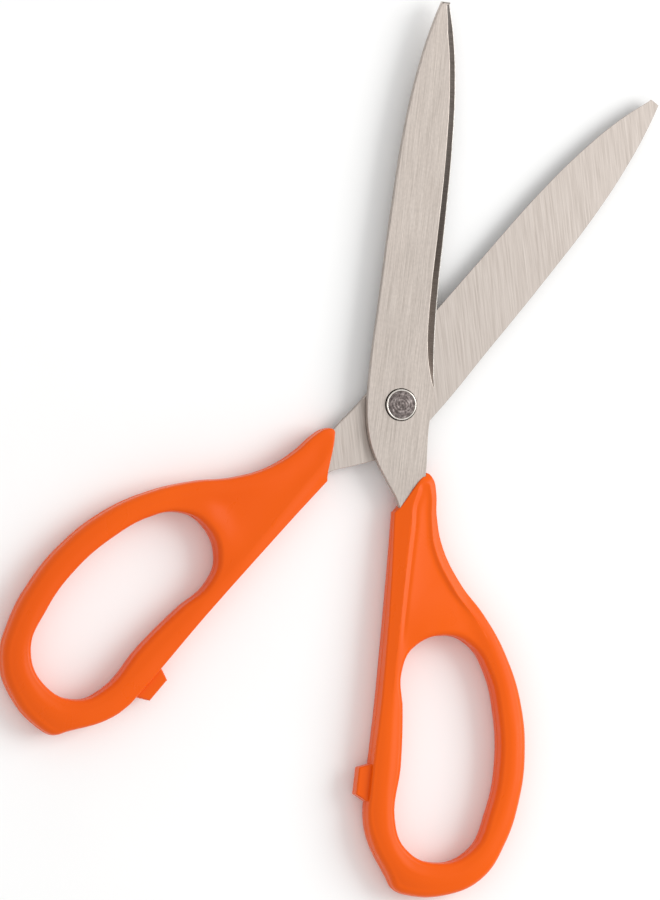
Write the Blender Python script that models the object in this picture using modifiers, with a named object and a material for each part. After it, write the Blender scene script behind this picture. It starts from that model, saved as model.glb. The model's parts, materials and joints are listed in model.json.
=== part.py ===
"""Fabric shears: two stamped blades with moulded handles, turning on one rivet.

The origin is on the pivot's axis, on the surface that the shears lie on. +Z points out of the front
blade's outer face and +Y runs between the two tips. Both halves have the same handle, and are drawn in
one frame, closed: the pivot at the origin, the tip towards +Y, the finger loop towards +X and the faces
that slide on each other at z = 0. The rear half is then turned over about Y, and each half is swung out
by half of the opening.
"""

import math

import bmesh
import bpy
from mathutils import Matrix

MM = 0.001

# Whole shears
OPENING_DEG = 34.3
HANDLE_THICKNESS = 7.0 * MM
PIVOT_PLANE_HEIGHT = HANDLE_THICKNESS / 2
FACE_GAP = 0.3 * MM

# Blades
BLADE_STOCK = 1.6 * MM
BLADE_INNER_Z = FACE_GAP / 2
BLADE_OUTER_Z = BLADE_INNER_Z + BLADE_STOCK
GRIND_WIDTH = 1.2 * MM
TIP_GRIND_SHARE = 0.35
HEEL_Y = 5.0 * MM
TIP_Y = 84.0 * MM
TANG_HOLE_RADIUS = 1.3 * MM
TANG_HOLES = [(5.6, -30.0), (5.6, -39.0)]

# Pivot, from the axis outwards
SHANK_RADIUS = 2.5 * MM
RUNNING_CLEARANCE = 0.1 * MM
BUSH_WALL = 0.6 * MM
BUSH_INNER_RADIUS = SHANK_RADIUS + RUNNING_CLEARANCE
BUSH_OUTER_RADIUS = BUSH_INNER_RADIUS + BUSH_WALL
PIVOT_HOLE_RADIUS = BUSH_OUTER_RADIUS + RUNNING_CLEARANCE
BUSH_PROUD = 0.55 * MM
RIVET_END_SUNK = 0.15 * MM
HEAD_RADIUS = 3.9 * MM
HEAD_FLAT_RADIUS = 3.1 * MM
WASHER_RADIUS = 4.3 * MM
WASHER_THICKNESS = 0.4 * MM
END_CHAMFER = 0.25 * MM
ROUND_STEPS = 40

# Handles
HANDLE_EDGE_RADIUS = 1.6 * MM
LUG_THICKNESS = 3.6 * MM
POCKET_GAP = 0.3 * MM
PEG_RADIUS = TANG_HOLE_RADIUS - POCKET_GAP
PEG_ROOT = 0.5 * MM

# Making
OUTLINE_STEPS = 3
ROUNDING_STEPS = 2
CUTTER_REACH = 1.0 * MM
WELD = 0.01 * MM
UPRIGHT_WALL = 0.5
SHARP_ANGLE = math.radians(35)

# Outlines in millimetres, in the closed half's frame, clockwise except for the loop. The curve runs
# through SMOOTH points and breaks at a CORNER.
SMOOTH, CORNER = "AUTO", "VECTOR"
TANG = [
    (6.5, -4.0, SMOOTH),
    (7.0, -12.5, SMOOTH),
    (7.2, -24.0, SMOOTH),
    (7.1, -43.0, SMOOTH),
    (5.6, -45.0, SMOOTH),
    (3.9, -43.0, SMOOTH),
    (3.7, -26.5, SMOOTH),
    (1.9, -20.2, SMOOTH),
    (-1.0, -16.0, SMOOTH),
    (-3.6, -12.2, SMOOTH),
    (-5.6, -8.2, SMOOTH),
    (-6.75, -3.6, SMOOTH),
]
BLADE_SPINE = [
    (-7.25, 3.0, SMOOTH),
    (-7.05, 22.0, SMOOTH),
    (-6.7, 40.0, SMOOTH),
    (-5.8, 58.5, SMOOTH),
    (-4.2, 71.0, SMOOTH),
    (-2.4, 79.5, SMOOTH),
]
FRONT_CUTTING_EDGE = [
    (-1.1, 84.0, CORNER),
    (0.7, 84.0, CORNER),
    (2.4, 77.5, SMOOTH),
    (4.0, 67.5, SMOOTH),
    (4.95, 54.0, SMOOTH),
    (5.3, 38.0, SMOOTH),
    (5.45, 24.0, SMOOTH),
    (6.2, 12.0, SMOOTH),
    (7.0, 5.0, SMOOTH),
]
REAR_CUTTING_EDGE = [
    (-1.2, 83.8, CORNER),
    (1.0, 83.5, CORNER),
    (3.0, 76.5, SMOOTH),
    (4.8, 67.0, SMOOTH),
    (6.1, 53.0, SMOOTH),
    (6.5, 36.0, SMOOTH),
    (6.75, 20.0, SMOOTH),
    (7.0, 5.0, SMOOTH),
]
HANDLE_MOUTH = [
    (1.35, -22.2, CORNER),
    (2.1, -21.4, SMOOTH),
    (6.4, -14.2, SMOOTH),
]
HANDLE_BACK = [
    (7.3, -13.3, SMOOTH),
    (8.8, -14.3, SMOOTH),
    (9.8, -17.0, SMOOTH),
    (10.5, -21.8, SMOOTH),
    (12.6, -28.2, SMOOTH),
    (17.0, -34.9, SMOOTH),
    (22.9, -41.1, SMOOTH),
    (28.7, -49.1, SMOOTH),
    (33.0, -58.4, SMOOTH),
    (35.2, -69.2, SMOOTH),
    (35.1, -78.2, SMOOTH),
    (33.1, -87.8, SMOOTH),
    (29.2, -95.3, SMOOTH),
    (22.4, -99.5, SMOOTH),
    (13.4, -100.5, SMOOTH),
    (10.8, -99.7, SMOOTH),
    (9.1, -97.3, SMOOTH),
    (4.4, -90.1, SMOOTH),
    (3.0, -85.4, SMOOTH),
]
HANDLE_INNER_SIDE = [
    (2.8, -81.0, SMOOTH),
    (2.8, -60.0, SMOOTH),
    (2.0, -34.2, SMOOTH),
]
FINGER_LOOP = [
    (15.6, -46.3, SMOOTH),
    (21.2, -48.0, SMOOTH),
    (25.1, -52.8, SMOOTH),
    (28.1, -60.7, SMOOTH),
    (29.8, -71.5, SMOOTH),
    (29.0, -81.4, SMOOTH),
    (26.0, -89.9, SMOOTH),
    (18.6, -93.3, SMOOTH),
    (11.9, -91.0, SMOOTH),
    (9.0, -85.6, SMOOTH),
    (8.9, -74.0, SMOOTH),
    (7.9, -62.6, SMOOTH),
    (6.7, -55.0, SMOOTH),
    (8.7, -49.6, SMOOTH),
]
STOP_LUG = [
    (4.5, -73.9, CORNER),
    (2.6, -74.5, CORNER),
    (0.15, -75.5, CORNER),
    (0.15, -81.1, CORNER),
    (2.6, -82.3, CORNER),
    (4.5, -83.0, CORNER),
]


def clear_scene():
    for obj in list(bpy.data.objects):
        bpy.data.objects.remove(obj, do_unlink=True)


def new_collection(name):
    collection = bpy.data.collections.new(name)
    bpy.context.scene.collection.children.link(collection)
    return collection


def add_material(obj, name, colour, roughness, metallic):
    material = bpy.data.materials.get(name) or bpy.data.materials.new(name)
    material.use_nodes = True
    shader = material.node_tree.nodes["Principled BSDF"]
    shader.inputs["Base Color"].default_value = (*colour, 1.0)
    shader.inputs["Roughness"].default_value = roughness
    shader.inputs["Metallic"].default_value = metallic
    obj.data.materials.append(material)


def orange_plastic(obj):
    add_material(obj, "orange_plastic", (0.90, 0.13, 0.01), 0.35, 0.0)


def stainless_steel(obj):
    add_material(obj, "stainless_steel", (0.60, 0.56, 0.53), 0.35, 1.0)


def bright_steel(obj):
    add_material(obj, "bright_steel", (0.80, 0.78, 0.76), 0.2, 1.0)


def dark_steel(obj):
    add_material(obj, "dark_steel", (0.14, 0.12, 0.12), 0.45, 1.0)


def add_spline(curve, outline):
    spline = curve.splines.new("BEZIER")
    spline.bezier_points.add(len(outline) - 1)
    spline.use_cyclic_u = True
    for point, (x, y, kind) in zip(spline.bezier_points, outline):
        point.co = (x * MM, y * MM, 0)
        point.handle_left_type = kind
        point.handle_right_type = kind


def weld(mesh):
    shape = bmesh.new()
    shape.from_mesh(mesh)
    bmesh.ops.remove_doubles(shape, verts=shape.verts, dist=WELD)
    bmesh.ops.recalc_face_normals(shape, faces=shape.faces)
    shape.to_mesh(mesh)
    shape.free()


def plate(name, collection, outlines, bottom, top, grow=0.0, rounding=0.0):
    """A flat plate from bottom to top. The first outline is its rim, clockwise, and any others are holes,
    turning the other way. grow moves the rim out, and rounding is the radius of all its edges."""
    curve = bpy.data.curves.new(name, "CURVE")
    curve.dimensions = "2D"
    curve.fill_mode = "BOTH"
    curve.extrude = (top - bottom) / 2 - rounding
    curve.bevel_depth = rounding
    curve.bevel_resolution = ROUNDING_STEPS
    curve.offset = grow - rounding
    curve.resolution_u = OUTLINE_STEPS
    for outline in outlines:
        add_spline(curve, outline)
    drawn = bpy.data.objects.new(name + "_outline", curve)
    collection.objects.link(drawn)
    bpy.context.view_layer.update()
    evaluated = drawn.evaluated_get(bpy.context.evaluated_depsgraph_get())
    mesh = bpy.data.meshes.new_from_object(evaluated)
    bpy.data.objects.remove(drawn, do_unlink=True)
    weld(mesh)
    mesh.transform(Matrix.Translation((0, 0, (top + bottom) / 2)))
    obj = bpy.data.objects.new(name, mesh)
    collection.objects.link(obj)
    return obj


def pin(name, collection, radius, bottom, top, x=0.0, y=0.0):
    """An upright cylinder from bottom to top."""
    shape = bmesh.new()
    place = Matrix.Translation((x, y, (top + bottom) / 2))
    bmesh.ops.create_cone(
        shape,
        cap_ends=True,
        segments=ROUND_STEPS,
        radius1=radius,
        radius2=radius,
        depth=top - bottom,
        matrix=place,
    )
    mesh = bpy.data.meshes.new(name)
    shape.to_mesh(mesh)
    shape.free()
    obj = bpy.data.objects.new(name, mesh)
    collection.objects.link(obj)
    return obj


def turned(name, collection, profile, closed=False):
    """A solid turned about Z from (radius, height) points, which run down its outer side."""
    edges = [(i, i + 1) for i in range(len(profile) - 1)]
    if closed:
        edges.append((len(profile) - 1, 0))
    mesh = bpy.data.meshes.new(name)
    mesh.from_pydata([(radius, 0, height) for radius, height in profile], edges, [])
    obj = bpy.data.objects.new(name, mesh)
    collection.objects.link(obj)
    screw = obj.modifiers.new("turn", "SCREW")
    screw.steps = ROUND_STEPS
    screw.render_steps = ROUND_STEPS
    screw.use_merge_vertices = True
    screw.merge_threshold = WELD
    return obj


def boolean(obj, operation, tools):
    for tool in tools:
        modifier = obj.modifiers.new(tool.name, "BOOLEAN")
        modifier.operation = operation
        modifier.solver = "EXACT"
        modifier.object = tool
        tool.display_type = "WIRE"
        tool.hide_render = True


def shade(obj):
    obj.data.shade_smooth()
    obj.data.set_sharp_from_angle(angle=SHARP_ANGLE)


def grind(blade):
    """Grinds the cutting edge on the outer face only, from the heel, and more narrowly towards the tip."""
    shape = bmesh.new()
    shape.from_mesh(blade.data)
    shares = shape.edges.layers.float.new("bevel_weight_edge")
    for edge in shape.edges:
        middle = (edge.verts[0].co + edge.verts[1].co) / 2
        walls = [face for face in edge.link_faces if abs(face.normal.z) < UPRIGHT_WALL]
        outer_rim = len(walls) == 1 and middle.z > BLADE_OUTER_Z - WELD
        if outer_rim and middle.x > 0 and HEEL_Y < middle.y < TIP_Y:
            along = (middle.y - HEEL_Y) / (TIP_Y - HEEL_Y)
            edge[shares] = 1.0 + along * (TIP_GRIND_SHARE - 1.0)
    shape.to_mesh(blade.data)
    shape.free()
    bevel = blade.modifiers.new("grind", "BEVEL")
    bevel.limit_method = "WEIGHT"
    bevel.width = GRIND_WIDTH
    bevel.segments = 1


def make_blade(name, cutting_edge, parts, cutters):
    outline = cutting_edge + TANG + BLADE_SPINE
    blade = plate(name, parts, [outline], BLADE_INNER_Z, BLADE_OUTER_Z)
    grind(blade)
    cut = {"bottom": BLADE_INNER_Z - CUTTER_REACH, "top": BLADE_OUTER_Z + CUTTER_REACH}
    holes = [pin(name + "_pivot_hole", cutters, PIVOT_HOLE_RADIUS, **cut)]
    for number, (x, y) in enumerate(TANG_HOLES, 1):
        hole_name = f"{name}_tang_hole_{number}"
        holes.append(pin(hole_name, cutters, TANG_HOLE_RADIUS, x=x * MM, y=y * MM, **cut))
    boolean(blade, "DIFFERENCE", holes)
    shade(blade)
    stainless_steel(blade)
    return [blade, *holes]


def make_handle(name, parts, cutters):
    """A handle with an open pocket for the tang, plastic pegs through the tang's holes, and a stop lug."""
    outline = HANDLE_MOUTH + HANDLE_BACK + HANDLE_INNER_SIDE
    half = HANDLE_THICKNESS / 2
    handle = plate(name, parts, [outline, FINGER_LOOP[::-1]], -half, half, rounding=HANDLE_EDGE_RADIUS)
    bottom, top = BLADE_INNER_Z - POCKET_GAP, BLADE_OUTER_Z + POCKET_GAP
    pocket = plate(name + "_pocket", cutters, [TANG], bottom, top, grow=POCKET_GAP)
    boolean(handle, "DIFFERENCE", [pocket])
    fillings = [plate(name + "_lug", cutters, [STOP_LUG], -LUG_THICKNESS / 2, LUG_THICKNESS / 2)]
    for number, (x, y) in enumerate(TANG_HOLES, 1):
        ends = {"bottom": bottom - PEG_ROOT, "top": top + PEG_ROOT}
        fillings.append(pin(f"{name}_peg_{number}", cutters, PEG_RADIUS, x=x * MM, y=y * MM, **ends))
    boolean(handle, "UNION", fillings)
    shade(handle)
    orange_plastic(handle)
    return [handle, pocket, *fillings]


def make_rivet(parts):
    end = BLADE_OUTER_Z + BUSH_PROUD - RIVET_END_SUNK
    head_bottom = -PIVOT_PLANE_HEIGHT
    head_top = -BLADE_OUTER_Z - FACE_GAP - WASHER_THICKNESS - FACE_GAP
    rivet = turned(
        "pivot_rivet",
        parts,
        [
            (0, end),
            (SHANK_RADIUS - END_CHAMFER, end),
            (SHANK_RADIUS, end - END_CHAMFER),
            (SHANK_RADIUS, head_top),
            (HEAD_RADIUS, head_top),
            (HEAD_RADIUS, head_top - END_CHAMFER),
            (HEAD_FLAT_RADIUS, head_bottom),
            (0, head_bottom),
        ],
    )
    dark_steel(rivet)
    return rivet


def ring(name, parts, inner, outer, bottom, top):
    profile = [(inner, top), (outer, top), (outer, bottom), (inner, bottom)]
    obj = turned(name, parts, profile, closed=True)
    bright_steel(obj)
    return obj


def make_bush(parts):
    top = BLADE_OUTER_Z + BUSH_PROUD
    return ring("pivot_bush", parts, BUSH_INNER_RADIUS, BUSH_OUTER_RADIUS, -BLADE_OUTER_Z, top)


def make_washer(parts):
    top = -BLADE_OUTER_Z - FACE_GAP
    return ring("rivet_washer", parts, BUSH_INNER_RADIUS, WASHER_RADIUS, top - WASHER_THICKNESS, top)


def place_half(name, parts, pieces, swing_deg, turned_over):
    """Parents the pieces to an empty on the pivot's axis, and swings it out to its place."""
    empty = bpy.data.objects.new(name, None)
    parts.objects.link(empty)
    empty.location.z = PIVOT_PLANE_HEIGHT
    empty.rotation_euler = (0, math.pi if turned_over else 0, math.radians(swing_deg))
    for piece in pieces:
        piece.parent = empty


def main():
    clear_scene()
    parts = new_collection("fabric_shears")
    cutters = new_collection("cutters")
    front = make_blade("front_blade", FRONT_CUTTING_EDGE, parts, cutters)
    front += make_handle("front_handle", parts, cutters)
    front += [make_rivet(parts), make_bush(parts), make_washer(parts)]
    rear = make_blade("rear_blade", REAR_CUTTING_EDGE, parts, cutters)
    rear += make_handle("rear_handle", parts, cutters)
    place_half("front_half", parts, front, OPENING_DEG / 2, turned_over=False)
    place_half("rear_half", parts, rear, -OPENING_DEG / 2, turned_over=True)


main()
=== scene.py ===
"""Fabric shears: the finished surfaces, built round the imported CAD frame.

Each half is drawn closed, in millimetres: the pivot at the origin, the tip towards +Y, the finger loop
towards +X and the faces that slide on each other at z = 0. half_place() then turns the rear half over
about Y and swings each half out by half of the opening. The outlines are the CAD part's, apart from small
corrections at the rear blade's tip and the front blade's heel.
"""

import json
import math

import bmesh
import bpy
import numpy as np
from mathutils import Matrix, Vector, noise

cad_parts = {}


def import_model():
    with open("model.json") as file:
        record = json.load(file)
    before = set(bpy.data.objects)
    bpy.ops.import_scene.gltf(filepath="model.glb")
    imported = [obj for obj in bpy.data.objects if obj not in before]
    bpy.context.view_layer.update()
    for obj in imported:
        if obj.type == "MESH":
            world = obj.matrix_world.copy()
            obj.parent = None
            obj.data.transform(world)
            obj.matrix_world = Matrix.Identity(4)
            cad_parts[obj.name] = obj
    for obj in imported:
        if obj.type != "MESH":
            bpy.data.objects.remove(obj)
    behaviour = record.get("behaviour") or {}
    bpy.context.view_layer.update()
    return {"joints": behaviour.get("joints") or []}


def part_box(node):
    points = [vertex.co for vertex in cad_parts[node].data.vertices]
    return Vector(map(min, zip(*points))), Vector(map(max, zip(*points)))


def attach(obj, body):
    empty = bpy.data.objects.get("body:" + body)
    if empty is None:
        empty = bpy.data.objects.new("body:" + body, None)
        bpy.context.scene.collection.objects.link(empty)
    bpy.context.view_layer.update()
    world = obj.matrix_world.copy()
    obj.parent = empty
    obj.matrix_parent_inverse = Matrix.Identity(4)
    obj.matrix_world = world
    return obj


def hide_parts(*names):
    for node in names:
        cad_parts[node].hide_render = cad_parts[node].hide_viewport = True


MM = 0.001

# Blades. The grind is the wide bevel along the cutting edge, and the honed edge is the narrow one below it.
BLADE_INNER_Z = 0.15
BLADE_OUTER_Z = 1.75
ARRIS = 0.1
ARRIS_DROP = 0.05
EDGE_LAND = 0.12
HONED_WIDTH = 0.14
HONED_RISE = 0.08
LEAST_STEP = 0.03
GRIND_WIDTH = 2.0
GRIND_TIP_SHARE = 0.8
GRIND_FADE = 30.0
GRIND_DEPTH_PER_WIDTH = 1.3
GRIND_HOLLOW = 0.05
GRIND_ROWS = 5
HEEL_Y = 4.2
HEEL_RUN = 13.0
TIP_RUN = 6.0
TIP_SHARE = 0.62
BLUNT_END_Y = 83.6
BLUNT_WIDTH = 0.45
PIVOT_HOLE_RADIUS = 3.42
TANG_HOLE_RADIUS = 1.3
TANG_HOLES = [(5.6, -30.0), (5.6, -39.0)]
GRINDING_SLANT_DEG = 48.0
FINE_LINES_TURN = 1.1
# The places of the steels in a blade's list of materials. Faces are brushed unless they are given another.
BRUSHED, GROUND_PAINTED_DARK, CROSS_GROUND, BRIGHT = range(4)

# Pivot
RIVET_RADIUS = 2.5
PEEN_RADIUS = 2.82
PEEN_BELOW_LIP = 0.1
PEEN_SHOULDER = 0.985
PEEN_EDGE_DROP = 0.06
PEEN_DOME = 0.1
PEEN_RINGS = 14
PEEN_ROUGHNESS = 0.07
DENTED_DEPTH = 0.12
BUSH_INNER_RADIUS = 2.6
BUSH_OUTER_RADIUS = 3.2
BUSH_TOP = 2.3
BUSH_SINK = 0.42
SINK_CLEARANCE = 0.03
SINK_TAPER = 0.25
SINK_SHARE = 0.6
LIP_STEPS = 8
HEAD_RADIUS = 3.9
WASHER_RADIUS = 4.3
WASHER_THICKNESS = 0.4
WASHER_EDGE = 0.08
FACE_GAP = 0.3
ROUND_STEPS = 96
# The rivet's profile: (radius, height over the table), (in from the head's radius, below the head's top) and
# (in from the peened end's radius, below that end)
HEAD_BASE = [(3.0, 0.0), (3.15, 0.02)]
HEAD_EDGE = [(0.05, 0.35), (0.0, 0.22), (0.06, 0.06), (0.2, 0.0)]
PEEN_EDGE = [(PEEN_RADIUS - RIVET_RADIUS, 0.56), (0.08, 0.175), (0.0, 0.0875)]
# The hammer's dents, as noise: (turns per millimetre, level in the noise, share)
DENTS = [(0.9, 3.0, 1.0), (2.3, 7.0, 0.6)]

# Handles
RING_HALF_HEIGHT = 3.5
MOUTH_HALF_HEIGHT = 2.45
MOUTH_Y = -15.0
RING_Y = -50.0
WALL_DRAFT = 0.03
FLASH_HEIGHT = 0.06
FLASH_PROUD = 0.05
LOOP_EDGE_RADIUS = 1.3
RAIL_WIDTH = 2.8
RAIL_HALF_WIDTH = 3.0
OUTER_ROUNDING = 0.75
INNER_ROUNDING = 0.7
ROUNDING = 0.4
ROUNDING_WIDTH = 1.6
WEB_BLEND = 5.0
RIDGE_SIDE_X = 5.6
RIDGE_END_Y = -62.0
FACET_SLOPE = 0.28
FACET_SIDE_X = 6.5
FACET_SIDE_BLEND = 2.0
FACET_END_Y = -66.0
FACET_END_BLEND = 14.0
RIM_SLOPE = 0.3
RIM_CURVE = 0.12
WEB_SLOPE = 0.2
WEB_FALL = 1.4
RIM_SHARE = 0.48
BEAD_WIDTH = 0.62
LIP_SHARE = 0.12
LIP_WIDTH = 1.0
LIP_BLEND = 9.0
GROOVE_DEPTH = 0.17
GROOVE_FROM_RIDGE = 1.0
GROOVE_WIDTH = 0.42
DISH_DEPTH = 0.9
DISH_SLOPE = 0.17
DISH_RIM_BLEND = 4.0
DISH_LIP_BLEND = 6.0
COLUMN_SPACING = 0.6
LEAST_COLUMNS = 4
WALL_ROWS = 2
EDGE_ROWS = 8
FLANK_ROWS = 7
WEB_ROWS = 22
FIRST_WEB_ROW_SHARE = 0.35
POCKET_GAP = 0.04
PEG_RADIUS = 1.25
PEG_ROOT = 0.5
LUG_HALF_THICKNESS = 1.8
LUG_EDGE = 0.3

# Making
CURVE_STEPS = 16
FINE_CURVE_STEPS = 40
CUTTER_REACH = 1.0
SHARP_ANGLE = math.radians(32)
BLADE_SHARP_ANGLE = math.radians(10)

# Materials. Nearly all of a noise's values lie between these two.
NOISE_LOW = 0.3
NOISE_HIGH = 0.7

# Stage, in metres and watts. IMAGE_UP and IMAGE_RIGHT lie on the table, and a light's direction is given
# along them and out of the table.
CAMERA_DISTANCE = 2.4
CAMERA_TILT_DEG = 15.0
CAMERA_CLIP = 0.01
IMAGE_UP = Vector((-0.4075, 0.9132, 0.0))
IMAGE_RIGHT = Vector((0.9132, 0.4075, 0.0))
TARGET = Vector((-0.00964, -0.01457, 0.0035))
FRAME_HEIGHT = 0.186
SENSOR_MM = 36.0
FLOOR_HALF_SIZE = 3.0
FLOOR_DROP = 0.00005
KEY_DIRECTION = (1.15, 0.22, 0.95)
KEY_DISTANCE = 0.9
KEY_SIZE = 0.6
KEY_POWER = 4.6
WORLD_STRENGTH = 0.82

# Outlines in millimetres, clockwise. The curve runs through SMOOTH points and breaks at a CORNER.
SMOOTH, CORNER = "AUTO", "VECTOR"
TANG = [
    (6.5, -4.0, SMOOTH),
    (7.0, -12.5, SMOOTH),
    (7.2, -24.0, SMOOTH),
    (7.1, -43.0, SMOOTH),
    (5.6, -45.0, SMOOTH),
    (3.9, -43.0, SMOOTH),
    (3.7, -26.5, SMOOTH),
    (1.9, -20.2, SMOOTH),
    (-1.0, -16.0, SMOOTH),
    (-3.6, -12.2, SMOOTH),
    (-5.6, -8.2, SMOOTH),
    (-6.75, -3.6, SMOOTH),
]
BLADE_SPINE = [
    (-7.25, 3.0, SMOOTH),
    (-7.05, 22.0, SMOOTH),
    (-6.7, 40.0, SMOOTH),
    (-5.8, 58.5, SMOOTH),
    (-4.2, 71.0, SMOOTH),
    (-2.4, 79.5, SMOOTH),
]
FRONT_CUTTING_EDGE = [
    (-1.1, 84.0, CORNER),
    (0.7, 84.0, CORNER),
    (2.4, 77.5, SMOOTH),
    (4.0, 67.5, SMOOTH),
    (4.95, 54.0, SMOOTH),
    (5.3, 38.0, SMOOTH),
    (5.45, 24.0, SMOOTH),
    (6.1, 12.0, SMOOTH),
    (6.85, 4.5, SMOOTH),
]
REAR_CUTTING_EDGE = [
    (-1.15, 83.9, CORNER),
    (0.75, 83.8, CORNER),
    (3.0, 76.5, SMOOTH),
    (4.8, 67.0, SMOOTH),
    (6.1, 53.0, SMOOTH),
    (6.5, 36.0, SMOOTH),
    (6.75, 20.0, SMOOTH),
    (7.0, 5.0, SMOOTH),
]
HANDLE_OUTLINE = [
    (1.35, -22.2, CORNER),
    (2.1, -21.4, SMOOTH),
    (6.4, -14.2, SMOOTH),
    (7.3, -13.3, SMOOTH),
    (8.8, -14.3, SMOOTH),
    (9.8, -17.0, SMOOTH),
    (10.5, -21.8, SMOOTH),
    (12.6, -28.2, SMOOTH),
    (17.0, -34.9, SMOOTH),
    (22.9, -41.1, SMOOTH),
    (28.7, -49.1, SMOOTH),
    (33.0, -58.4, SMOOTH),
    (35.2, -69.2, SMOOTH),
    (35.1, -78.2, SMOOTH),
    (33.1, -87.8, SMOOTH),
    (29.2, -95.3, SMOOTH),
    (22.4, -99.5, SMOOTH),
    (13.4, -100.5, SMOOTH),
    (10.8, -99.7, SMOOTH),
    (9.1, -97.3, SMOOTH),
    (4.4, -90.1, SMOOTH),
    (3.0, -85.4, SMOOTH),
    (2.8, -81.0, SMOOTH),
    (2.8, -60.0, SMOOTH),
    (2.0, -34.2, SMOOTH),
]
FINGER_LOOP = [
    (15.6, -46.3, SMOOTH),
    (21.2, -48.0, SMOOTH),
    (25.1, -52.8, SMOOTH),
    (28.1, -60.7, SMOOTH),
    (29.8, -71.5, SMOOTH),
    (29.0, -81.4, SMOOTH),
    (26.0, -89.9, SMOOTH),
    (18.6, -93.3, SMOOTH),
    (11.9, -91.0, SMOOTH),
    (9.0, -85.6, SMOOTH),
    (8.9, -74.0, SMOOTH),
    (7.9, -62.6, SMOOTH),
    (6.7, -55.0, SMOOTH),
    (8.7, -49.6, SMOOTH),
]
STOP_LUG = [
    (4.5, -83.0, CORNER),
    (2.6, -82.3, CORNER),
    (0.15, -81.1, CORNER),
    (0.15, -75.5, CORNER),
    (2.6, -74.5, CORNER),
    (4.5, -73.9, CORNER),
]
# The handle is lofted from its outline over a crown line to the finger loop. Each station matches a point
# on the outline, one on the crown and one on the loop, and gives the radius of the outline's edge there.
STATIONS = [
    ((1.35, -22.2), (5.0, -25.0), (8.4, -50.0), 0.4),
    ((4.4, -17.7), (5.1, -19.0), (8.9, -49.4), 0.35),
    ((7.3, -13.3), (7.2, -15.3), (9.7, -48.7), 0.5),
    ((9.8, -17.0), (8.6, -17.6), (10.4, -48.2), 0.6),
    ((10.5, -21.8), (9.2, -22.2), (11.4, -47.5), 0.7),
    ((12.6, -28.2), (10.8, -28.9), (13.0, -46.8), 0.8),
    ((17.0, -34.9), (15.4, -36.1), (16.0, -46.3), 0.9),
    ((22.9, -41.1), (21.2, -42.5), (20.3, -47.5), 1.1),
    ((28.7, -49.1), (26.5, -50.4), (24.5, -51.8), 1.4),
    ((33.0, -58.4), (30.2, -59.6), (27.8, -60.0), 1.6),
    ((35.2, -69.2), (32.1, -69.5), (29.6, -69.8), 1.7),
    ((35.1, -78.2), (31.9, -78.6), (29.3, -78.9), 1.7),
    ((33.1, -87.8), (29.9, -86.9), (27.6, -86.3), 1.7),
    ((29.2, -95.3), (26.4, -93.0), (24.3, -91.3), 1.7),
    ((22.4, -99.5), (21.3, -95.8), (20.5, -93.1), 1.7),
    ((13.4, -100.5), (14.9, -96.1), (15.9, -92.9), 1.6),
    ((9.6, -98.3), (11.3, -94.4), (12.6, -91.5), 1.5),
    ((4.4, -90.1), (7.4, -88.8), (9.6, -87.8), 1.3),
    ((3.0, -85.4), (6.4, -84.9), (8.95, -84.5), 0.9),
    ((2.8, -72.0), (5.6, -72.0), (8.7, -72.0), 0.7),
    ((2.8, -60.0), (5.0, -60.0), (7.4, -60.0), 0.6),
    ((2.5, -50.0), (4.8, -51.0), (6.8, -54.0), 0.5),
    ((2.1, -38.0), (4.85, -40.0), (7.2, -52.2), 0.45),
    ((1.7, -29.0), (4.9, -31.5), (7.8, -50.9), 0.4),
]


def smooth(value):
    """0 below 0, 1 above 1 and an S between them."""
    value = np.clip(value, 0.0, 1.0)
    return value * value * (3.0 - 2.0 * value)


def mix(first, second, share):
    return first + (second - first) * share


# Curves and lofts


def trace(outline, steps=CURVE_STEPS):
    """The points along a closed outline, in order."""
    curve = bpy.data.curves.new("traced", "CURVE")
    curve.dimensions = "2D"
    curve.fill_mode = "NONE"
    curve.resolution_u = steps
    spline = curve.splines.new("BEZIER")
    spline.bezier_points.add(len(outline) - 1)
    spline.use_cyclic_u = True
    for point, (x, y, kind) in zip(spline.bezier_points, outline):
        point.co = (x, y, 0)
        point.handle_left_type = kind
        point.handle_right_type = kind
    drawn = bpy.data.objects.new("traced", curve)
    bpy.context.scene.collection.objects.link(drawn)
    bpy.context.view_layer.update()
    mesh = bpy.data.meshes.new_from_object(drawn.evaluated_get(bpy.context.evaluated_depsgraph_get()))
    points = np.array([vertex.co[:2] for vertex in mesh.vertices])
    bpy.data.objects.remove(drawn, do_unlink=True)
    bpy.data.meshes.remove(mesh)
    return points


def between_stations(points, stations, counts):
    """Spreads counts[i] points evenly along the traced curve from each station to the next."""
    starts = [int(np.argmin(((points - station) ** 2).sum(1))) for station in stations]
    spread = []
    for number, start in enumerate(starts):
        end = starts[(number + 1) % len(starts)]
        run = points[start : end + 1] if end > start else np.concatenate([points[start:], points[: end + 1]])
        along = np.concatenate([[0.0], np.cumsum(np.hypot(*np.diff(run, axis=0).T))])
        wanted = np.linspace(0.0, along[-1], counts[number], endpoint=False)
        spread.append(np.stack([np.interp(wanted, along, run[:, axis]) for axis in (0, 1)], axis=1))
    return np.concatenate(spread)


def right_hand_normals(points):
    """Unit vectors to the right of a closed run of points: inwards on a clockwise one."""
    ahead = np.roll(points, -1, axis=0) - points
    ahead /= np.linalg.norm(ahead, axis=1)[:, None]
    along = ahead + np.roll(ahead, 1, axis=0)
    along /= np.linalg.norm(along, axis=1)[:, None]
    return np.stack([along[:, 1], -along[:, 0]], axis=1)


def distance_to(points, curve):
    """The distance from each point to the nearest point of a finely traced curve."""
    gaps = points[:, None, :] - curve[None, :, :]
    return np.sqrt((gaps**2).sum(2).min(1))


def object_of(name, mesh):
    obj = bpy.data.objects.new(name, mesh)
    bpy.context.scene.collection.objects.link(obj)
    return obj


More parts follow.
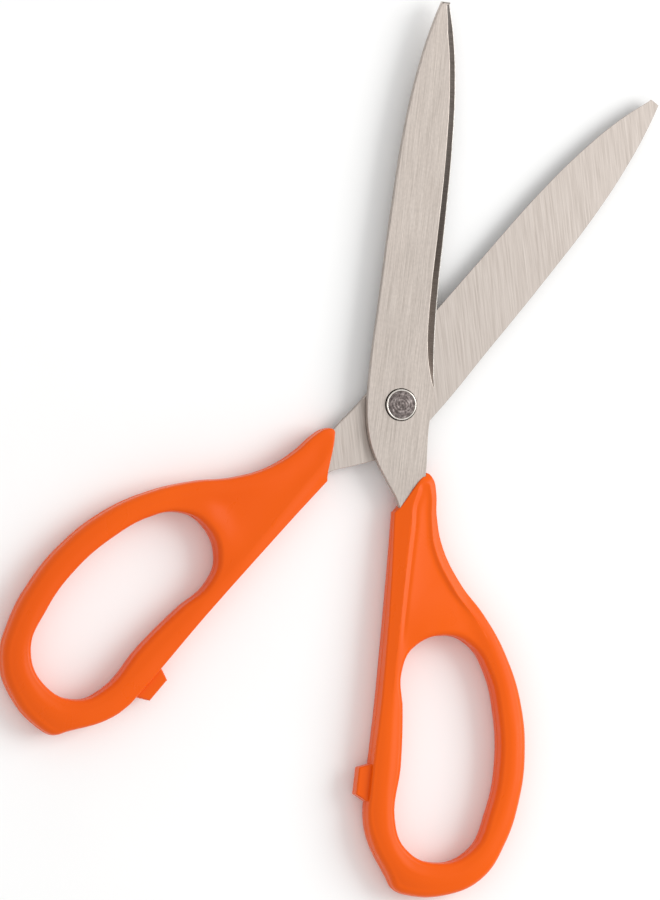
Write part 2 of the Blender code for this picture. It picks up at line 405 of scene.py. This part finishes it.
def ring_of_rings(name, rows, caps=False):
    """A mesh from rows of points (row, column, 3), closed round the columns and, unless capped, the rows."""
    count, columns = rows.shape[:2]
    faces = []
    for row in range(count - 1 if caps else count):
        start = row * columns
        above = (row + 1) % count * columns
        for column in range(columns):
            beside = (column + 1) % columns
            faces.append((start + column, start + beside, above + beside, above + column))
    if caps:
        faces.append(tuple(range(columns - 1, -1, -1)))
        faces.append(tuple(range((count - 1) * columns, count * columns)))
    mesh = bpy.data.meshes.new(name)
    mesh.from_pydata(rows.reshape(-1, 3).tolist(), [], faces)
    shape = bmesh.new()
    shape.from_mesh(mesh)
    bmesh.ops.recalc_face_normals(shape, faces=shape.faces)
    shape.to_mesh(mesh)
    shape.free()
    return object_of(name, mesh)


def plate(name, outline, bottom, top, grow=0.0, edge=0.0):
    """A flat plate of the outline, with its edges chamfered by edge."""
    points = trace(outline)
    inwards = right_hand_normals(points)
    section = [(0.0, bottom), (0.0, top)]
    if edge:
        section = [(edge, bottom), (0.0, bottom + edge), (0.0, top - edge), (edge, top)]
    rows = []
    for inset, height in section:
        flat = points + inwards * (inset - grow)
        rows.append(np.column_stack([flat, np.full(len(flat), height)]))
    return ring_of_rings(name, np.array(rows), caps=True)


def turned(name, profile, caps=True):
    """A solid turned about Z from (radius, height) points."""
    turn = np.linspace(0.0, 2.0 * math.pi, ROUND_STEPS, endpoint=False)
    rows = []
    for radius, height in profile:
        circle = np.column_stack([radius * np.cos(turn), radius * np.sin(turn)])
        rows.append(np.column_stack([circle, np.full(ROUND_STEPS, height)]))
    return ring_of_rings(name, np.array(rows), caps)


def pin(name, radius, bottom, top, x=0.0, y=0.0):
    """An upright cylinder."""
    obj = turned(name, [(radius, bottom), (radius, top)])
    obj.data.transform(Matrix.Translation((x, y, 0.0)))
    return obj


def combine(obj, operation, tools):
    """Cuts the tools from obj, or joins them to it, and removes them."""
    for tool in tools:
        modifier = obj.modifiers.new(tool.name, "BOOLEAN")
        modifier.operation = operation
        modifier.solver = "EXACT"
        modifier.object = tool
    bpy.context.view_layer.update()
    mesh = bpy.data.meshes.new_from_object(obj.evaluated_get(bpy.context.evaluated_depsgraph_get()))
    obj.modifiers.clear()
    obj.data = mesh
    for tool in tools:
        bpy.data.objects.remove(tool, do_unlink=True)


def finish_shape(obj, sharp=SHARP_ANGLE):
    """Brings a shape to metres and shades it smooth up to its sharp edges."""
    obj.data.transform(Matrix.Scale(MM, 4))
    obj.data.shade_smooth()
    obj.data.set_sharp_from_angle(angle=sharp)


# Blades


def grind_width(points):
    """How far the grind reaches in from each point of the outline. Off the cutting edge it is the arris."""
    x, y = points.T
    from_heel = np.clip((y - HEEL_Y) / HEEL_RUN, 0.0, 1.0)
    start = np.sqrt(from_heel * (2.0 - from_heel))
    fade = mix(GRIND_TIP_SHARE, 1.0, np.exp(-np.clip(y - HEEL_Y - HEEL_RUN, 0.0, None) / GRIND_FADE))
    end = mix(TIP_SHARE, 1.0, np.clip((y.max() - y) / TIP_RUN, 0.0, 1.0))
    side = np.where((x > 0.0) & (y > HEEL_Y), GRIND_WIDTH * start * fade * end, ARRIS)
    return np.maximum(np.where(y > BLUNT_END_Y, BLUNT_WIDTH, side), ARRIS)


def blade_rows(points):
    """Rows of points from the inner face, over the honed edge, grind and arris, to the outer face."""
    inwards = right_hand_normals(points)
    width = grind_width(points)
    ground = np.clip((width - ARRIS) / (2.0 * HONED_WIDTH), 0.0, 1.0)
    full_depth = BLADE_OUTER_Z - ARRIS_DROP - BLADE_INNER_Z - EDGE_LAND
    reach = np.maximum(width - ARRIS, LEAST_STEP)
    depth = np.minimum(reach * GRIND_DEPTH_PER_WIDTH, full_depth)
    foot = BLADE_OUTER_Z - ARRIS_DROP - depth
    everywhere = np.ones(len(points))
    half_arris = ARRIS / 2
    steps = [
        (half_arris * everywhere, BLADE_INNER_Z * everywhere),
        (0.0 * everywhere, (BLADE_INNER_Z + half_arris) * everywhere),
        (0.0 * everywhere, foot),
    ]
    honed_inset, honed_top = HONED_WIDTH * ground, foot + HONED_RISE * ground
    for step in range(GRIND_ROWS + 1):
        share = step / GRIND_ROWS
        hollow = GRIND_HOLLOW * math.sin(math.pi * share) * ground
        inset = mix(honed_inset, reach, share) + hollow
        steps.append((inset, mix(honed_top, BLADE_OUTER_Z - ARRIS_DROP, share)))
    steps.append((width, BLADE_OUTER_Z * everywhere))
    rows = [np.column_stack([points + inwards * inset[:, None], height]) for inset, height in steps]
    return np.array(rows)


def make_blade(name, cutting_edge, turn_deg):
    """A blade and its tang in one, with holes for the bush and for the handle's pegs."""
    points = trace(cutting_edge + TANG + BLADE_SPINE)
    rows = blade_rows(points)
    blade = ring_of_rings(name, rows, caps=True)
    for steel in (brushed_steel, ground_steel_painted_dark, cross_ground_steel):
        blade.data.materials.append(steel(turn_deg))
    blade.data.materials.append(bright_steel())
    is_ground = grind_width(points) > ARRIS
    honed_row = 2
    last_ground_row = honed_row + GRIND_ROWS
    inner_face_number = (len(rows) - 1) * len(points)
    for number, face in enumerate(blade.data.polygons):
        row, column = divmod(number, len(points))
        if number == inner_face_number:
            face.material_index = CROSS_GROUND
        elif number < inner_face_number and is_ground[column]:
            if row == honed_row:
                face.material_index = BRIGHT
            elif honed_row < row <= last_ground_row:
                # The grind's rows take the steel whose darkness is a painted reflection.
                face.material_index = GROUND_PAINTED_DARK
    cut = {"bottom": BLADE_INNER_Z - CUTTER_REACH, "top": BLADE_OUTER_Z + CUTTER_REACH}
    holes = [pin("pivot_hole", PIVOT_HOLE_RADIUS, **cut)]
    for x, y in TANG_HOLES:
        holes.append(pin("tang_hole", TANG_HOLE_RADIUS, x=x, y=y, **cut))
    combine(blade, "DIFFERENCE", holes)
    finish_shape(blade, BLADE_SHARP_ANGLE)
    return blade


# Handles


def crown_height(points):
    """Half of the handle's thickness along the crown line: thin at the mouth and full at the ring."""
    share = smooth((points[:, 1] - MOUTH_Y) / (RING_Y - MOUTH_Y))
    return mix(MOUTH_HALF_HEIGHT, RING_HALF_HEIGHT, share)


def web_share(to_crown, to_loop, outside):
    """0 on a rail beside the loop and 1 on the web."""
    crown_to_loop = np.where(outside, to_loop - to_crown, to_loop + to_crown)
    return smooth((crown_to_loop - RAIL_WIDTH) / WEB_BLEND)


def rounding(to_crown):
    """How far a rail's face has fallen between the crown and the loop."""
    return ROUNDING * (1.0 - np.exp(-((to_crown / ROUNDING_WIDTH) ** 2)))


def outer_face(points, distances, outside):
    """The height of the face that is away from the other half.

    A flat facet rises from the straight side to a ridge. From there the web falls away towards the rim,
    which stands up from it as a bead. Round the loop the face is a rounded rail.
    """
    to_crown, to_ridge, to_rim, to_loop = distances
    web = web_share(to_crown, to_loop, outside)
    along_fall = np.where(outside, to_ridge - to_crown, to_ridge)
    fall = web * WEB_FALL * (1.0 - np.exp(-WEB_SLOPE * along_fall / WEB_FALL))
    rim_drop = RIM_SHARE * fall
    x, y = points.T
    facet = smooth((FACET_SIDE_X - x) / FACET_SIDE_BLEND) * smooth((y - FACET_END_Y) / FACET_END_BLEND)
    rail_edge = OUTER_ROUNDING * (to_crown / RAIL_HALF_WIDTH) ** 2
    rim_edge = RIM_SLOPE * to_crown + RIM_CURVE * to_crown**2
    outer_drop = rim_drop + mix(mix(rail_edge, rim_edge, web), FACET_SLOPE * to_crown, facet)
    bead = np.exp(-((to_rim / BEAD_WIDTH) ** 2))
    scoop = mix(fall, rim_drop, bead) * mix(LIP_SHARE, 1.0, smooth((to_loop - LIP_WIDTH) / LIP_BLEND))
    groove = GROOVE_DEPTH * web * np.exp(-(((to_ridge - GROOVE_FROM_RIDGE) / GROOVE_WIDTH) ** 2))
    inner_drop = scoop + groove + (1.0 - web) * rounding(to_crown)
    return crown_height(points) - np.where(outside, outer_drop, inner_drop)


def inner_face(points, distances, outside):
    """The depth of the face that is towards the other half: rounded rails round a slightly dished web."""
    to_crown, to_ridge, to_rim, to_loop = distances
    outer_drop = INNER_ROUNDING * (to_crown / RAIL_HALF_WIDTH) ** 2
    fall = DISH_DEPTH * (1.0 - np.exp(-DISH_SLOPE * to_ridge / DISH_DEPTH))
    dish = fall * smooth(to_rim / DISH_RIM_BLEND) * smooth((to_loop - LIP_WIDTH) / DISH_LIP_BLEND)
    inner_drop = mix(rounding(to_crown), dish, web_share(to_crown, to_loop, outside))
    return crown_height(points) - np.where(outside, outer_drop, inner_drop)


def loft_lines():
    """The matched points on the outline, the crown and the loop, and the outline's edge radius at each."""
    outer_stations, crown_stations, loop_stations, radii = zip(*STATIONS)
    outline = trace(HANDLE_OUTLINE, FINE_CURVE_STEPS)
    crown = trace([(x, y, SMOOTH) for x, y in crown_stations], FINE_CURVE_STEPS)
    loop = trace(FINGER_LOOP, FINE_CURVE_STEPS)
    gaps = np.linalg.norm(np.roll(outer_stations, -1, axis=0) - np.array(outer_stations), axis=1)
    counts = np.maximum(LEAST_COLUMNS, np.round(gaps / COLUMN_SPACING)).astype(int)
    radius = [
        np.linspace(radii[i], radii[(i + 1) % len(radii)], count, endpoint=False)
        for i, count in enumerate(counts)
    ]
    lines = [
        between_stations(line, stations, counts)
        for line, stations in ((outline, outer_stations), (crown, crown_stations), (loop, loop_stations))
    ]
    return (*lines, np.concatenate(radius), crown, loop)


def handle_loft(name):
    """The handle without its pocket, pegs and lug: one closed section swept round the loop."""
    outline, crown, loop, radius, whole_crown, whole_loop = loft_lines()
    inwards = right_hand_normals(outline)
    outwards = -right_hand_normals(loop)
    radius = radius[:, None]
    rim = outline + inwards * radius
    lip = loop + outwards * LOOP_EDGE_RADIUS
    flat, outside = [rim], [True]
    for step in range(1, FLANK_ROWS + 1):
        flat.append(mix(rim, crown, step / FLANK_ROWS))
        outside.append(True)
    for step in range(1, WEB_ROWS + 1):
        share = step / WEB_ROWS
        flat.append(mix(crown, lip, share * mix(FIRST_WEB_ROW_SHARE, 1.0, share)))
        outside.append(False)
    flat = np.array(flat)
    columns = len(outline)
    points = flat.reshape(-1, 2)
    on_ridge = (whole_crown[:, 0] < RIDGE_SIDE_X) & (whole_crown[:, 1] > RIDGE_END_Y)
    measured = (whole_crown, whole_crown[on_ridge], whole_crown[~on_ridge], whole_loop)
    distances = [distance_to(points, line) for line in measured]
    is_outside = np.repeat(outside, columns)
    halves = []
    for face, sign in ((outer_face, 1.0), (inner_face, -1.0)):
        height = face(points, distances, is_outside).reshape(len(flat), columns)
        halves.append(half_section(outline, inwards, radius[:, 0], loop, outwards, flat, height, sign))
    upper, lower = halves
    return ring_of_rings(name, np.concatenate([upper, lower[::-1]]))


def half_section(outline, inwards, radius, loop, outwards, flat, height, sign):
    """The rows of one face, from the parting line on the outline over the face to the one in the loop."""
    rows = []
    rows += edge_rows(outline, inwards, radius, height[0], sign)
    for place, level in zip(flat, height):
        rows.append(np.column_stack([place, sign * level]))
    edge_radius = np.full(len(loop), LOOP_EDGE_RADIUS)
    rows += edge_rows(loop, outwards, edge_radius, height[-1], sign)[::-1]
    return np.array(rows)


def edge_rows(line, inwards, radius, height, sign):
    """The rows up a side wall, from the flash line, and round its edge."""
    rows = []
    columns = len(line)
    wall = height - radius
    proud = line - inwards * FLASH_PROUD
    rows.append(np.column_stack([proud, np.full(columns, sign * FLASH_HEIGHT / 2)]))
    rows.append(np.column_stack([line, np.full(columns, sign * FLASH_HEIGHT)]))
    for step in range(1, WALL_ROWS + 1):
        level = mix(FLASH_HEIGHT, wall, step / WALL_ROWS)
        rows.append(np.column_stack([line + inwards * (WALL_DRAFT * level)[:, None], sign * level]))
    for step in range(1, EDGE_ROWS):
        angle = step / EDGE_ROWS * math.pi / 2
        inset = WALL_DRAFT * wall * math.cos(angle) + radius * (1.0 - math.cos(angle))
        level = wall + radius * math.sin(angle)
        rows.append(np.column_stack([line + inwards * inset[:, None], sign * level]))
    return rows


def make_handle(name):
    """One moulding over its blade's tang, with a peg through each of the tang's holes and the stop lug."""
    handle = handle_loft(name)
    bottom, top = BLADE_INNER_Z - POCKET_GAP, BLADE_OUTER_Z + POCKET_GAP
    pocket = plate("pocket", TANG, bottom, top, grow=POCKET_GAP)
    combine(handle, "DIFFERENCE", [pocket])
    lug = plate("lug", STOP_LUG, -LUG_HALF_THICKNESS, LUG_HALF_THICKNESS, edge=LUG_EDGE)
    pegs = [pin("peg", PEG_RADIUS, bottom - PEG_ROOT, top + PEG_ROOT, x, y) for x, y in TANG_HOLES]
    combine(handle, "UNION", [lug, *pegs])
    finish_shape(handle)
    handle.data.materials.clear()
    handle.data.materials.append(orange_plastic())
    return handle


# Pivot


def make_rivet(name, base_z):
    """The rivet, with its end peened out over the bush and a flat head at the back."""
    under_head = -BLADE_OUTER_Z - FACE_GAP - WASHER_THICKNESS - FACE_GAP
    end = BUSH_TOP - PEEN_BELOW_LIP
    profile = [(radius, base_z + height) for radius, height in HEAD_BASE]
    profile += [(HEAD_RADIUS - inset, under_head - depth) for inset, depth in HEAD_EDGE]
    profile.append((RIVET_RADIUS, under_head))
    profile += [(PEEN_RADIUS - inset, end - depth) for inset, depth in PEEN_EDGE]
    for ring in range(PEEN_RINGS):
        outwards = 1.0 - ring / PEEN_RINGS
        height = end + PEEN_DOME * (1.0 - outwards**2) - PEEN_EDGE_DROP
        profile.append((PEEN_RADIUS * outwards * PEEN_SHOULDER, height))
    rivet = turned(name, profile)
    for vertex in rivet.data.vertices:
        if vertex.co.z > end - DENTED_DEPTH:
            x, y = vertex.co.xy
            dent = 0.0
            for turns, level, share in DENTS:
                dent += share * noise.noise(Vector((x * turns, y * turns, level)))
            vertex.co.z += PEEN_ROUGHNESS * dent
    finish_shape(rivet)
    rivet.data.materials.append(peened_steel())
    return rivet


def make_bush(name):
    """The bright bush that both blades turn on, countersunk for the rivet's peened end."""
    sink_radius = PEEN_RADIUS + SINK_CLEARANCE
    lip = (BUSH_OUTER_RADIUS - sink_radius) / 2
    lip_middle = sink_radius + lip
    round_lip = []
    for step in range(LIP_STEPS + 1):
        angle = math.pi * step / LIP_STEPS
        round_lip.append((lip_middle + lip * math.cos(angle), BUSH_TOP - lip + lip * math.sin(angle)))
    profile = [
        (BUSH_INNER_RADIUS, -BLADE_OUTER_Z),
        (BUSH_OUTER_RADIUS - lip, -BLADE_OUTER_Z),
        (BUSH_OUTER_RADIUS, -BLADE_OUTER_Z + lip),
        *round_lip,
        (sink_radius, BUSH_TOP - BUSH_SINK * SINK_SHARE),
        (BUSH_INNER_RADIUS, BUSH_TOP - BUSH_SINK - SINK_TAPER),
    ]
    bush = turned(name, profile, caps=False)
    finish_shape(bush)
    bush.data.materials.append(bright_steel())
    return bush


def make_washer(name):
    """The washer between the rivet's head and the rear blade, with chamfered edges."""
    top = -BLADE_OUTER_Z - FACE_GAP
    bottom = top - WASHER_THICKNESS
    profile = [
        (BUSH_INNER_RADIUS, bottom + WASHER_EDGE),
        (BUSH_INNER_RADIUS + WASHER_EDGE, bottom),
        (WASHER_RADIUS - WASHER_EDGE, bottom),
        (WASHER_RADIUS, bottom + WASHER_EDGE),
        (WASHER_RADIUS, top - WASHER_EDGE),
        (WASHER_RADIUS - WASHER_EDGE, top),
        (BUSH_INNER_RADIUS + WASHER_EDGE, top),
        (BUSH_INNER_RADIUS, top - WASHER_EDGE),
    ]
    washer = turned(name, profile, caps=False)
    finish_shape(washer)
    washer.data.materials.append(bright_steel())
    return washer


# Materials


class Nodes:
    """A material's node tree, with short calls to add and join nodes."""

    def __init__(self, name, roughness, metallic=0.0):
        self.material = bpy.data.materials.new(name)
        self.material.use_nodes = True
        self.tree = self.material.node_tree
        self.shader = self.tree.nodes["Principled BSDF"]
        self.shader.inputs["Roughness"].default_value = roughness
        self.shader.inputs["Metallic"].default_value = metallic
        self.place = self.tree.nodes.new("ShaderNodeTexCoord").outputs["Object"]

    def join(self, source, node, socket):
        self.tree.links.new(source, node.inputs[socket])

    def stretched(self, scale, turn_deg=0.0):
        """Object coordinates turned about Z and then scaled, per millimetre."""
        turned_place = self.tree.nodes.new("ShaderNodeMapping")
        turned_place.inputs["Rotation"].default_value[2] = math.radians(turn_deg)
        self.join(self.place, turned_place, "Vector")
        scaled = self.tree.nodes.new("ShaderNodeMapping")
        scaled.inputs["Scale"].default_value = [value / MM for value in scale]
        self.join(turned_place.outputs["Vector"], scaled, "Vector")
        return scaled.outputs["Vector"]

    def noise(self, place, detail=3.0, roughness=0.5):
        texture = self.tree.nodes.new("ShaderNodeTexNoise")
        texture.inputs["Scale"].default_value = 1.0
        texture.inputs["Detail"].default_value = detail
        texture.inputs["Roughness"].default_value = roughness
        self.join(place, texture, "Vector")
        return texture.outputs["Fac"]

    def rings(self, place, scale, distortion):
        """Rings round Z, broken up by noise."""
        texture = self.tree.nodes.new("ShaderNodeTexWave")
        texture.wave_type = "RINGS"
        texture.rings_direction = "Z"
        texture.inputs["Scale"].default_value = scale
        texture.inputs["Distortion"].default_value = distortion
        texture.inputs["Detail"].default_value = 4.0
        self.join(place, texture, "Vector")
        return texture.outputs["Fac"]

    def range(self, value, low, high):
        """A noise's values, spread over low to high."""
        mapped = self.tree.nodes.new("ShaderNodeMapRange")
        mapped.inputs["From Min"].default_value = NOISE_LOW
        mapped.inputs["From Max"].default_value = NOISE_HIGH
        mapped.inputs["To Min"].default_value = low
        mapped.inputs["To Max"].default_value = high
        self.join(value, mapped, "Value")
        return mapped.outputs["Result"]

    def colours(self, value, stops):
        """A ramp of colours at the (position, colour) stops."""
        ramp = self.tree.nodes.new("ShaderNodeValToRGB")
        while len(ramp.color_ramp.elements) < len(stops):
            ramp.color_ramp.elements.new(0.5)
        for element, (position, colour) in zip(ramp.color_ramp.elements, stops):
            element.position = position
            element.color = (*colour, 1.0)
        self.join(value, ramp, "Fac")
        return ramp.outputs["Color"]

    def multiply(self, first, second):
        mixer = self.tree.nodes.new("ShaderNodeMix")
        mixer.data_type = "RGBA"
        mixer.blend_type = "MULTIPLY"
        mixer.inputs["Factor"].default_value = 1.0
        self.tree.links.new(first, mixer.inputs["A"])
        self.tree.links.new(second, mixer.inputs["B"])
        return mixer.outputs["Result"]

    def bump(self, height, depth, below=None):
        """A bump of that depth in millimetres, on top of another."""
        bump = self.tree.nodes.new("ShaderNodeBump")
        bump.inputs["Strength"].default_value = 1.0
        bump.inputs["Distance"].default_value = depth * MM
        self.join(height, bump, "Height")
        if below:
            self.join(below, bump, "Normal")
        return bump.outputs["Normal"]

    def finish(self, colour=None, roughness=None, normal=None):
        for socket, value in (("Base Color", colour), ("Roughness", roughness), ("Normal", normal)):
            if value:
                self.join(value, self.shader, socket)
        return self.material


def once(make):
    """Makes a material the first time it is asked for, once for each way that it is turned."""
    made = {}

    def get(*turn):
        if turn not in made:
            made[turn] = make(*turn)
        return made[turn]

    return get


@once
def orange_plastic():
    """Moulded plastic: even colour with faint flow marks, a fine moulded skin and light handling wear."""
    nodes = Nodes("orange_plastic", 0.3)
    flow = nodes.noise(nodes.stretched((0.05, 0.02, 0.05)), detail=2.0)
    colour = nodes.colours(flow, [(0.3, (0.79, 0.097, 0.001)), (0.7, (0.83, 0.109, 0.001))])
    skin = nodes.noise(nodes.stretched((2.0, 2.0, 2.0)), detail=2.0)
    smears = nodes.noise(nodes.stretched((0.25, 0.12, 0.25)), detail=4.0)
    nodes.shader.inputs["IOR"].default_value = 1.4
    nodes.shader.inputs["Specular IOR Level"].default_value = 0.25
    return nodes.finish(colour, nodes.range(smears, 0.26, 0.36), nodes.bump(skin, 0.003))


@once
def brushed_steel(turn_deg):
    """The blades' outer faces, brushed along their length."""
    nodes = Nodes("brushed_steel", 0.35, 1.0)
    lines = nodes.noise(nodes.stretched((6.0, 0.12, 1.0), turn_deg), detail=5.0, roughness=0.6)
    broad = nodes.noise(nodes.stretched((0.5, 0.04, 0.5), turn_deg), detail=3.0)
    colour = nodes.colours(lines, [(0.32, (0.46, 0.404, 0.362)), (0.68, (0.67, 0.597, 0.542))])
    grain = nodes.noise(nodes.stretched((2.2, 1.4, 1.0), turn_deg), detail=2.0)
    for worn, darkest in ((broad, 0.92), (grain, 0.9)):
        shade = nodes.colours(worn, [(0.3, (darkest, darkest, darkest)), (0.7, (1.0, 1.0, 1.0))])
        colour = nodes.multiply(colour, shade)
    return nodes.finish(colour, nodes.range(lines, 0.5, 0.34), nodes.bump(lines, 0.01))


@once
def ground_steel_painted_dark(turn_deg):
    """The hollow-ground bevel with grinding marks across it, dark beside the faces: the darkness is a
    painted dark reflection.
    """
    nodes = Nodes("ground_steel_painted_dark", 0.3, 1.0)
    marks = nodes.noise(nodes.stretched((0.2, 7.0, 0.2), turn_deg), detail=4.0, roughness=0.6)
    # Painted reflection: the base colour is darkened to stand for the dark surroundings the bevel mirrors.
    # The marks across it are real grinding.
    colour = nodes.colours(marks, [(0.3, (0.07, 0.056, 0.047)), (0.7, (0.165, 0.138, 0.12))])
    return nodes.finish(colour, nodes.range(marks, 0.4, 0.28), nodes.bump(marks, 0.008))


@once
def cross_ground_steel(turn_deg):
    """The blades' inner faces, ground with long slanting lines."""
    nodes = Nodes("cross_ground_steel", 0.4, 1.0)
    slant = turn_deg - math.copysign(GRINDING_SLANT_DEG, turn_deg)
    lines = nodes.noise(nodes.stretched((3.0, 0.1, 1.0), slant), detail=4.0, roughness=0.6)
    fine = nodes.noise(nodes.stretched((9.0, 0.2, 1.0), slant * FINE_LINES_TURN), detail=3.0)
    colour = nodes.colours(lines, [(0.3, (0.44, 0.388, 0.35)), (0.7, (0.60, 0.538, 0.492))])
    normal = nodes.bump(fine, 0.006, nodes.bump(lines, 0.014))
    return nodes.finish(colour, nodes.range(lines, 0.5, 0.36), normal)


@once
def bright_steel():
    """Polished steel, worn a little, for the bush, the washer and the honed edges."""
    nodes = Nodes("bright_steel", 0.24, 1.0)
    worn = nodes.noise(nodes.stretched((1.5, 1.5, 1.5)), detail=4.0)
    colour = nodes.colours(worn, [(0.3, (0.74, 0.69, 0.63)), (0.7, (0.84, 0.80, 0.75))])
    return nodes.finish(colour, nodes.range(worn, 0.2, 0.3), nodes.bump(worn, 0.003))


@once
def peened_steel():
    """Dark steel, rough and swirled where the hammer has spread it."""
    nodes = Nodes("peened_steel", 0.42, 1.0)
    dents = nodes.noise(nodes.stretched((1.2, 1.2, 1.2)), detail=6.0, roughness=0.7)
    swirl = nodes.rings(nodes.stretched((1.0, 1.0, 0.1)), scale=0.5, distortion=5.0)
    dark, mid, light = (0.06, 0.048, 0.046), (0.2, 0.17, 0.163), (0.62, 0.56, 0.54)
    colour = nodes.multiply(
        nodes.colours(dents, [(0.3, dark), (0.52, mid), (0.75, light)]),
        nodes.colours(swirl, [(0.1, (0.75, 0.75, 0.75)), (0.9, (1.0, 0.98, 0.97))]),
    )
    normal = nodes.bump(swirl, 0.03, nodes.bump(dents, 0.07))
    return nodes.finish(colour, nodes.range(dents, 0.36, 0.6), normal)


def floor_white():
    """The plain pale floor, mottled very faintly."""
    nodes = Nodes("floor_white", 0.75)
    mottle = nodes.noise(nodes.stretched((0.02, 0.02, 0.02)), detail=3.0)
    return nodes.finish(nodes.colours(mottle, [(0.3, (0.92, 0.92, 0.915)), (0.7, (0.94, 0.94, 0.935))]))


# Stage


def make_camera():
    """A long lens above the table, leaning to the image's left so that the left side walls show."""
    tilt = math.radians(CAMERA_TILT_DEG)
    towards = IMAGE_UP.cross(-IMAGE_RIGHT) * math.cos(tilt) - IMAGE_RIGHT * math.sin(tilt)
    towards.normalize()
    across = IMAGE_UP.cross(towards)
    camera = bpy.data.objects.new("camera", bpy.data.cameras.new("camera"))
    bpy.context.scene.collection.objects.link(camera)
    axes = Matrix((across, IMAGE_UP, towards)).transposed()
    camera.matrix_world = Matrix.Translation(TARGET + towards * CAMERA_DISTANCE) @ axes.to_4x4()
    camera.data.sensor_fit = "VERTICAL"
    camera.data.sensor_height = SENSOR_MM
    camera.data.lens = SENSOR_MM * CAMERA_DISTANCE / FRAME_HEIGHT
    camera.data.clip_start = CAMERA_CLIP
    bpy.context.scene.camera = camera


def make_floor():
    mesh = bpy.data.meshes.new("floor")
    shape = bmesh.new()
    bmesh.ops.create_grid(shape, x_segments=1, y_segments=1, size=FLOOR_HALF_SIZE)
    shape.to_mesh(mesh)
    shape.free()
    floor = object_of("floor", mesh)
    floor.location.z = -FLOOR_DROP
    floor.data.materials.append(floor_white())


def softbox(name, direction, distance, size, power):
    """A square area light that points at the pivot."""
    light = bpy.data.lights.new(name, "AREA")
    light.shape = "SQUARE"
    light.size = size
    light.energy = power
    lamp = bpy.data.objects.new(name, light)
    bpy.context.scene.collection.objects.link(lamp)
    right, up, out = direction
    from_pivot = (IMAGE_RIGHT * right + IMAGE_UP * up + Vector((0.0, 0.0, out))).normalized()
    lamp.location = from_pivot * distance
    lamp.rotation_euler = from_pivot.to_track_quat("Z", "Y").to_euler()


def make_light():
    """One softbox in an even white studio."""
    softbox("key", KEY_DIRECTION, KEY_DISTANCE, KEY_SIZE, KEY_POWER)
    world = bpy.data.worlds.new("studio")
    world.use_nodes = True
    background = world.node_tree.nodes["Background"]
    background.inputs["Color"].default_value = (1.0, 1.0, 1.0, 1.0)
    background.inputs["Strength"].default_value = WORLD_STRENGTH
    bpy.context.scene.world = world
    bpy.context.scene.view_settings.view_transform = "Standard"


# Assembly


def half_place(opening_deg, height, turned_over):
    """Where a half that was drawn closed lies: turned over or not, swung out and raised to the pivot."""
    swing = math.radians(opening_deg / 2) * (-1.0 if turned_over else 1.0)
    turn = Matrix.Rotation(math.pi, 4, "Y") if turned_over else Matrix.Identity(4)
    return Matrix.Translation((0.0, 0.0, height)) @ Matrix.Rotation(swing, 4, "Z") @ turn


def settle(piece, place, body, node):
    """Puts a finished piece in its place and hands it over in place of its CAD node."""
    piece.data.transform(place)
    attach(piece, body)
    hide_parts(node)


def main():
    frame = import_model()
    opening_deg = -frame["joints"][0]["range_deg"][0]
    low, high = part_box("front_handle")
    height = (low.z + high.z) / 2
    for half, cutting_edge, turned_over in (
        ("front", FRONT_CUTTING_EDGE, False),
        ("rear", REAR_CUTTING_EDGE, True),
    ):
        place = half_place(opening_deg, height, turned_over)
        turn_deg = opening_deg / 2 if turned_over else -opening_deg / 2
        blade = make_blade(f"{half}_blade_finished", cutting_edge, turn_deg)
        settle(blade, place, f"{half}_half", f"{half}_blade")
        handle = make_handle(f"{half}_handle_finished")
        settle(handle, place, f"{half}_half", f"{half}_handle")
    upright = Matrix.Translation((0.0, 0.0, height))
    rivet = make_rivet("pivot_rivet_finished", -height / MM)
    settle(rivet, upright, "front_half", "pivot_rivet")
    settle(make_bush("pivot_bush_finished"), upright, "front_half", "pivot_bush")
    settle(make_washer("rivet_washer_finished"), upright, "front_half", "rivet_washer")
    make_camera()
    make_floor()
    make_light()


main()
